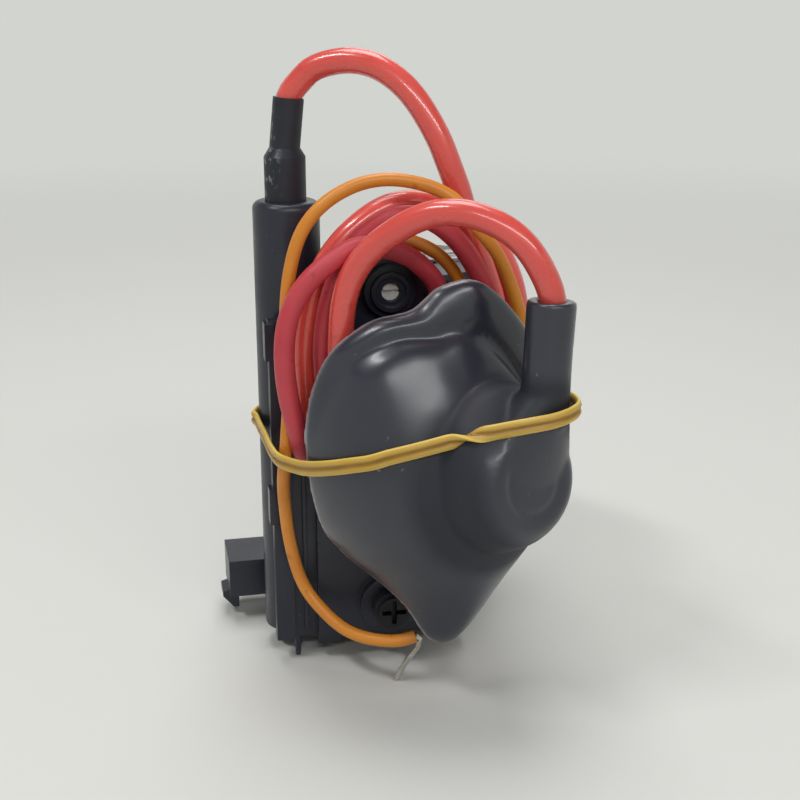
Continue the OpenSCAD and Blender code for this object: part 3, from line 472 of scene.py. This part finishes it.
def make_finishes():
    """Every finish, by its name."""
    made = (
        Finish("case_black", (33, 36, 48), 0.36, Specular_IOR_Level=0.5)
        .mottle((39, 42, 55), 90, 0.42, 0.75, 0.7)
        .specks((110, 111, 112), 900, 0.74, 0.3)
        .uneven(0.26, 0.42).bump(1400, 0.12, 0.03, 0.3),
        Finish("rotor_grey", (236, 236, 232), 0.45)
        .mottle((196, 196, 194), 600, 0.4, 0.7).uneven(0.4, 0.6).bump(2000, 0.2, 0.03, 0.15),
        Finish("knob_black", (26, 28, 35), 0.36, Specular_IOR_Level=0.42)
        .mottle((40, 41, 46), 200, 0.45, 0.75).uneven(0.3, 0.46).bump(1600, 0.1, 0.03, 0.2),
        Finish("contact_bronze", (176, 138, 72), 0.35, Metallic=1.0)
        .mottle((150, 112, 58), 400).uneven(0.28, 0.45).bump(1500, 0.1, 0.02),
        Finish("ceramic_white", (222, 218, 208), 0.6)
        .mottle((204, 200, 188), 200).uneven(0.5, 0.7).bump(2200, 0.15, 0.02),
        Finish("resin_dark", (40, 38, 36), 0.25)
        .mottle((56, 52, 46), 80).uneven(0.15, 0.4).bump(300, 0.1, 0.08),
        Finish("bobbin_dark", (50, 50, 54), 0.5)
        .mottle((62, 62, 64), 150).uneven(0.42, 0.6).bump(1500, 0.1, 0.03, 0.2),
        Finish("copper", (190, 108, 60), 0.3, Metallic=1.0)
        .mottle((160, 84, 44), 300).uneven(0.22, 0.4).bump(60, 0.5, 0.15, 0, (1, 1, 40)),
        Finish("bobbin_cream", (214, 204, 178), 0.5)
        .mottle((196, 184, 156), 150).uneven(0.42, 0.6).bump(1500, 0.1, 0.03, 0.2),
        Finish("tinned_metal", (206, 204, 196), 0.32, Metallic=1.0)
        .mottle((168, 164, 154), 500).uneven(0.25, 0.5).bump(900, 0.2, 0.04),
        Finish("ferrite", (62, 61, 62), 0.55)
        .mottle((78, 77, 76), 260, 0.4, 0.7).specks((110, 108, 104), 1400, 0.7, 0.4)
        .uneven(0.45, 0.68).bump(1800, 0.3, 0.05, 0.3),
        Finish("spacer_tan", (204, 184, 130), 0.6)
        .mottle((184, 162, 108), 300).bump(1500, 0.1, 0.03),
        Finish("clip_steel", (186, 187, 187), 0.3, Metallic=1.0)
        .mottle((150, 151, 150), 240, 0.4, 0.75, 0.7, (1, 8, 1)).uneven(0.2, 0.45, 300)
        .bump(700, 0.12, 0.04, 0.2, (1, 12, 1)),
        Finish("resistor_blue", (66, 92, 140), 0.4)
        .mottle((54, 76, 120), 300).bump(1200, 0.1, 0.03),
        Finish("sleeve_black", (30, 31, 40), 0.46, Specular_IOR_Level=0.42)
        .mottle((41, 43, 54), 140, 0.42, 0.75, 0.6)
        .scuffs((150, 154, 158), (-0.0322, -0.0296), 1100, 0.56, 0.7, (1, 1, 0.5))
        .uneven(0.38, 0.56).bump(500, 0.3, 0.1),
        Finish("lead_red", (225, 83, 73), 0.3, Subsurface_Weight=0.06, Subsurface_Scale=0.002,
               Coat_Weight=0.7, Coat_Roughness=0.1)
        .mottle((213, 68, 62), 70, 0.4, 0.7, 0.6).specks((170, 40, 42), 420, 0.7, 0.3)
        .uneven(0.22, 0.36).bump(300, 0.1, 0.06),
        Finish("lead_crimson", (190, 57, 68), 0.44, Subsurface_Weight=0.05, Subsurface_Scale=0.002)
        .mottle((202, 76, 84), 80, 0.4, 0.7, 0.7).specks((124, 30, 42), 500, 0.71, 0.35)
        .uneven(0.4, 0.56).bump(420, 0.14, 0.06),
        Finish("lead_orange", (219, 140, 42), 0.4, Subsurface_Weight=0.05, Subsurface_Scale=0.002)
        .mottle((202, 120, 34), 80, 0.4, 0.72, 0.7).specks((130, 70, 20), 520, 0.71, 0.3)
        .uneven(0.32, 0.48).bump(420, 0.12, 0.05),
        Finish("cap_rubber", (40, 42, 53), 0.36, Specular_IOR_Level=0.45,
               Coat_Weight=0.45, Coat_Roughness=0.2)
        .mottle((47, 49, 60), 40, 0.38, 0.72, 0.8)
        .specks((150, 152, 156), 460, 0.8, 0.5)
        .scuffs((128, 131, 136), None, 260, 0.71, 0.5, (1, 6, 2))
        # Painted shade darkens the shoulder round the hub, which is also made dull.
        .lay_painted_light("handled", (32, 34, 44), 0.9)
        # Painted highlight: a pale colour along the rim's edge.
        .lay_painted_light("rubbed", (150, 153, 158), 0.85)
        .uneven(0.28, 0.42, 90).dull("handled", 0.56).bump(500, 0.1, 0.06),
        Finish("band_rubber", (146, 104, 22), 0.34, Subsurface_Weight=0.15, Subsurface_Scale=0.0015)
        # Painted shade: the base colour darkens the groove between the strands, and the colour
        # turns pale towards their outer edges.
        .lay_painted_light("ridge", (236, 204, 98), 1.0)
        .mottle((194, 148, 44), 160, 0.42, 0.72, 0.4)
        .uneven(0.26, 0.44).bump(500, 0.2, 0.06),
    )
    return {each.name: each for each in made}


# Shapes


def smooth_path(points, step):
    """A cubic spline through points, by chord length and with free ends, sampled every step."""
    p = np.array(points, float)
    h = np.linalg.norm(np.diff(p, axis=0), axis=1)
    n = len(p)
    matrix, right = np.eye(n), np.zeros((n, 3))
    for i in range(1, n - 1):
        matrix[i, i - 1:i + 2] = h[i - 1], 2 * (h[i - 1] + h[i]), h[i]
        right[i] = 6 * ((p[i + 1] - p[i]) / h[i] - (p[i] - p[i - 1]) / h[i - 1])
    bend = np.linalg.solve(matrix, right)
    out = []
    for i in range(n - 1):
        for t in np.arange(0, h[i] - step / 2, step):
            u = h[i] - t
            out.append((bend[i] * u**3 + bend[i + 1] * t**3) / (6 * h[i])
                       + (p[i] / h[i] - bend[i] * h[i] / 6) * u
                       + (p[i + 1] / h[i] - bend[i + 1] * h[i] / 6) * t)
    out.append(p[-1])
    return np.array(out)


def on_loop(points, s):
    """The point at share s of a closed curve through points."""
    n = len(points)
    i, t = int(math.floor(s * n)), s * n - math.floor(s * n)
    a, b, c, d = (Vector(points[(i + k) % n]) for k in (-1, 0, 1, 2))
    return 0.5 * (2 * b + (c - a) * t + (2 * a - 5 * b + 4 * c - d) * t * t
                  + (3 * b - a - 3 * c + d) * t**3)


def ease(x, low, high):
    """0 up to low and 1 from high on, with a soft step between them."""
    t = min(1, max(0, (x - low) / (high - low)))
    return t * t * (3 - 2 * t)


def add_lead(name, points, diameter):
    """A lead as one open curve with a round section, and its path in metres.

    The bevel is 1 and the size of the lead is in the radius of the points.
    """
    path = smooth_path(points, LEAD_STEP) * MM
    curve = bpy.data.curves.new(name, "CURVE")
    curve.dimensions = "3D"
    curve.bevel_depth, curve.bevel_resolution = 1.0, LEAD_RESOLUTION
    curve.use_fill_caps = True
    spline = curve.splines.new("POLY")
    spline.points.add(len(path) - 1)
    for point, at in zip(spline.points, path):
        point.co, point.radius = (*at, 1), diameter / 2 * MM
    spline.use_smooth = True
    return add_object(name, curve), path


def rings_mesh(name, rings, closed=False):
    """A mesh from rings of points, each ring closed; the ends are capped unless the rings close."""
    mesh = bpy.data.meshes.new(name)
    n, m = len(rings[0]), len(rings)
    verts = [Vector(p) * MM for ring in rings for p in ring]
    faces = []
    for j in range(m if closed else m - 1):
        k = (j + 1) % m
        faces += [(j * n + i, j * n + (i + 1) % n, k * n + (i + 1) % n, k * n + i)
                  for i in range(n)]
    if not closed:
        faces += [tuple(range(n - 1, -1, -1)), tuple((m - 1) * n + i for i in range(n))]
    mesh.from_pydata(verts, [], faces)
    mesh.update()
    return mesh


# Cap


def around(a):
    """The direction at an angle round the hub's axis."""
    return math.cos(a) * CAP_SIDE + math.sin(a) * CAP_UP


def by_side(a, ends):
    """A value that runs from right to left round the hub."""
    return ends[1] + (ends[0] - ends[1]) * (1 + math.cos(a)) / 2


def hub_ring(a, r, h, share=0.0):
    """A point of the hub, with a share of the collar's extra width in its radius."""
    reach = r + share * COLLAR_EGG * max(0, math.sin(a)) ** 2
    return COLLAR_FOOT + reach * around(a) + h * CAP_AXIS


def angle_of(p):
    """The angle of a point round the hub's axis."""
    return math.atan2((p - COLLAR_FOOT).dot(CAP_UP), (p - COLLAR_FOOT).dot(CAP_SIDE))


def fold(a, t):
    """Depth of the fold that parts the dome from the brim, along the upper edge of the skirt."""
    turn = math.degrees(a)
    middle, most = np.interp(turn, *FOLD_PLACE), np.interp(turn, *FOLD_DEPTH)
    spread = FOLD_TO_RIM if t < middle else FOLD_TO_COLLAR
    return float(most) * math.exp(-((t - middle) / spread) ** 2)


def skirt(p, t):
    """A point of the skirt's outside, from the rim at t = 0 to the collar at t = 1."""
    a = angle_of(p)
    k = hub_ring(a, COLLAR_R, 0, 1)
    b = p + by_side(a, RIM_RISE) * CAP_AXIS + by_side(a, RIM_LEAN) * around(a)
    wide = by_side(a, COLLAR_BULGE) + LOBE_OUT * max(0, math.cos(a + LOBE_TURN)) ** 4
    c = k + wide * around(a) - by_side(a, COLLAR_DROP) * CAP_AXIS
    place = p * (1 - t)**3 + 3 * b * t * (1 - t)**2 + 3 * c * t * t * (1 - t) + k * t**3
    return place - fold(a, t) * (place - CAP_HEART).normalized()


def cap_rings(columns=180, rows=48):
    """The rings of the skirt and hub, from the top of the hub out to the rim and back inside."""
    rim = [on_loop(RIM, i / columns) for i in range(columns)]
    angles = [angle_of(p) for p in rim]
    outside = [[skirt(p, j / rows) for p in rim] for j in range(rows + 1)]
    outer = outside + [[hub_ring(a, *line) for a in angles] for line in HUB_PROFILE]
    lining = [[hub_ring(a, *line) for a in angles] for line in HUB_LINING]
    for ring in reversed(outside):
        lining.append([p - SKIRT_T * (p - CAP_HEART).normalized() for p in ring])
    return list(reversed(outer)) + list(reversed(lining))


def tube_rings(path, sides=32):
    """Rings of a tube through (point, radius) pairs, with a steady reference direction."""
    rings = []
    for j, (p, r) in enumerate(path):
        t = (path[min(j + 1, len(path) - 1)][0] - path[max(j - 1, 0)][0]).normalized()
        u = t.cross(CAP_SIDE).normalized()
        v = t.cross(u)
        rings.append([p + r * (math.cos(q) * u + math.sin(q) * v)
                      for q in np.linspace(0, 2 * math.pi, sides, endpoint=False)])
    return rings


def flare_mesh():
    """The root of the boot, a smooth skin from the boot's section down into the hub."""
    shape = bmesh.new()
    ends = tube_rings([(BOOT_KNEE, BOOT_R), (BOOT_KNEE - BOOT_DIR, BOOT_R)])
    ends += [[hub_ring(a, *disc) for a in np.linspace(0, 2 * math.pi, 48, endpoint=False)]
             for disc in FLARE_DISCS]
    for p in (p for ring in ends for p in ring):
        shape.verts.new(p * MM)
    bmesh.ops.convex_hull(shape, input=shape.verts)
    bmesh.ops.delete(shape, geom=[v for v in shape.verts if not v.link_faces], context="VERTS")
    mesh = bpy.data.meshes.new("flare")
    shape.to_mesh(mesh)
    shape.free()
    return mesh


def apply_modifiers(obj):
    """Puts the mesh that an object's modifiers make in the place of its own."""
    mesh = bpy.data.meshes.new_from_object(
        obj.evaluated_get(bpy.context.evaluated_depsgraph_get()))
    obj.modifiers.clear()
    obj.data = mesh
    return mesh


def join_solid(target, tool_mesh, operation):
    """Joins a solid to the target or cuts it out."""
    tool = add_object(tool_mesh.name, tool_mesh)
    mod = target.modifiers.new(operation, "BOOLEAN")
    mod.operation, mod.object, mod.solver = operation, tool, "EXACT"
    apply_modifiers(target)
    bpy.data.objects.remove(tool)


def mark_points(mesh, name, values):
    """Gives every point of a mesh a value that a finish can look up by name."""
    mesh.attributes.new(name, "FLOAT", "POINT").data.foreach_set("value", values)


def mark_cap(mesh, rim_points=240):
    """Marks a painted highlight along the rim's edge, and painted shade and a dull surface on the
    shoulder round the hub.
    """
    at = np.empty(len(mesh.vertices) * 3)
    mesh.vertices.foreach_get("co", at)
    at = at.reshape(-1, 3)
    edge = np.array([on_loop(RIM, i / rim_points) for i in range(rim_points)]) * MM
    near = np.array([np.linalg.norm(edge - p, axis=1).min() for p in at])
    # Painted highlight along the rim's edge, fading inwards.
    mark_points(mesh, "rubbed", np.clip(RIM_HIGHLIGHT_MOST - near / (RIM_HIGHLIGHT_FADE * MM), 0, 1))
    off_axis = np.linalg.norm(np.cross(at / MM - np.array(HUB_TOP), np.array(CAP_AXIS)), axis=1)
    inside = np.clip((off_axis - SHOULDER_IN) / SHOULDER_IN_FADE, 0, 1)
    outside = np.clip((SHOULDER_OUT - off_axis) / SHOULDER_OUT_FADE, 0, 1)
    # Painted shade on the shoulder round the hub, which is also made dull there.
    mark_points(mesh, "handled", inside * outside)


def make_cap():
    """Skirt, hub and boot as one soft skin with a bore for the lead."""
    cap = add_object("cap_skirt", rings_mesh("cap_skirt", cap_rings()))
    bore = [(BOOT_TOP + BOOT_DIR, BOOT_BORE_R), (BOOT_TOP - BOOT_DEPTH * BOOT_DIR, BOOT_BORE_R)]
    join_solid(cap, rings_mesh("boot", tube_rings(BOOT_STEM)), "UNION")
    join_solid(cap, flare_mesh(), "UNION")
    join_solid(cap, rings_mesh("bore", tube_rings(bore)), "DIFFERENCE")
    remesh = cap.modifiers.new("even", "REMESH")
    remesh.mode, remesh.voxel_size = "VOXEL", CAP_VOXEL * MM
    soften = cap.modifiers.new("soften", "SMOOTH")
    soften.factor, soften.iterations = 0.5, CAP_SMOOTHING
    mesh = apply_modifiers(cap)
    mesh.name = "cap_skirt"
    mesh.shade_smooth()
    mark_cap(mesh)
    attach(cap, BODY)
    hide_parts("anode_cap")
    return cap


# Band


def make_band(steps=640):
    """Two strands of rubber side by side, which cross over on the front of the cap and behind."""
    section, section_out_of_shade = [], []
    for q in np.linspace(0, 2 * math.pi, 36, endpoint=False):
        away = abs(math.cos(q))
        thick = BAND_T * (BAND_WAIST + (1 - BAND_WAIST) * min(1, away * BAND_LOBE))
        section.append((math.cos(q) * BAND_W / 2, math.sin(q) * thick / 2))
        # How far each point of the section lies out of the groove's painted shade.
        section_out_of_shade.append(sum(ease(away, *ends) for ends in BAND_SHADE_STEPS) / len(BAND_SHADE_STEPS))
    rings, ridge = [], []
    for j in range(steps):
        before, p, after = (on_loop(BAND_ROUTE, (j + k) / steps) for k in (-1, 0, 1))
        t = (after - before).normalized()
        out = t.cross(Vector((0, 0, 1))).normalized()
        up = out.cross(t)
        over, back = (ease(j / steps * len(BAND_ROUTE), *ends) for ends in BAND_TWISTS)
        roll = math.pi * (over - back)
        up, out = (math.cos(roll) * up + math.sin(roll) * out,
                   math.cos(roll) * out - math.sin(roll) * up)
        rings.append([p + w * up + h * out for w, h in section])
        ridge += section_out_of_shade
    mesh = rings_mesh("band", rings, closed=True)
    mesh.shade_smooth()
    mark_points(mesh, "ridge", ridge)
    band = add_object("band", mesh)
    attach(band, BODY)
    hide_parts("rubber_band")
    return band


# The scene

make_camera()
make_studio()
finishes = make_finishes()

boot_entry = [tuple(BOOT_TOP + d * BOOT_DIR) for d in (0.4, -BOOT_DEPTH / 2, -BOOT_DEPTH)]
anode_route = ANODE_ARCH + ANODE_TURNS + ANODE_TAIL + boot_entry
anode_lead, anode_path = add_lead("anode_lead", anode_route, ANODE_D)
focus_lead, focus_path = add_lead("focus_lead", FOCUS_ROUTE, FOCUS_D)
screen_lead, screen_path = add_lead("screen_lead", SCREEN_TURNS + SCREEN_TAIL, SCREEN_D)
cap = make_cap()
band = make_band()

lead_slots = ((anode_lead, "lead_red"), (focus_lead, "lead_crimson"), (screen_lead, "lead_orange"))
for lead, slot in lead_slots:
    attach(lead, BODY)
    finishes[slot].paint(lead)
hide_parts("anode_lead_arch", "anode_lead_tail", "lead_bundle")
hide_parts("lead_bundle")
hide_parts("screen_lead_tail")

finishes["cap_rubber"].paint(cap)
finishes["band_rubber"].paint(band)
for slot, names in NODE_FINISH.items():
    finishes[slot].paint(*(bpy.data.objects[n] for n in names))
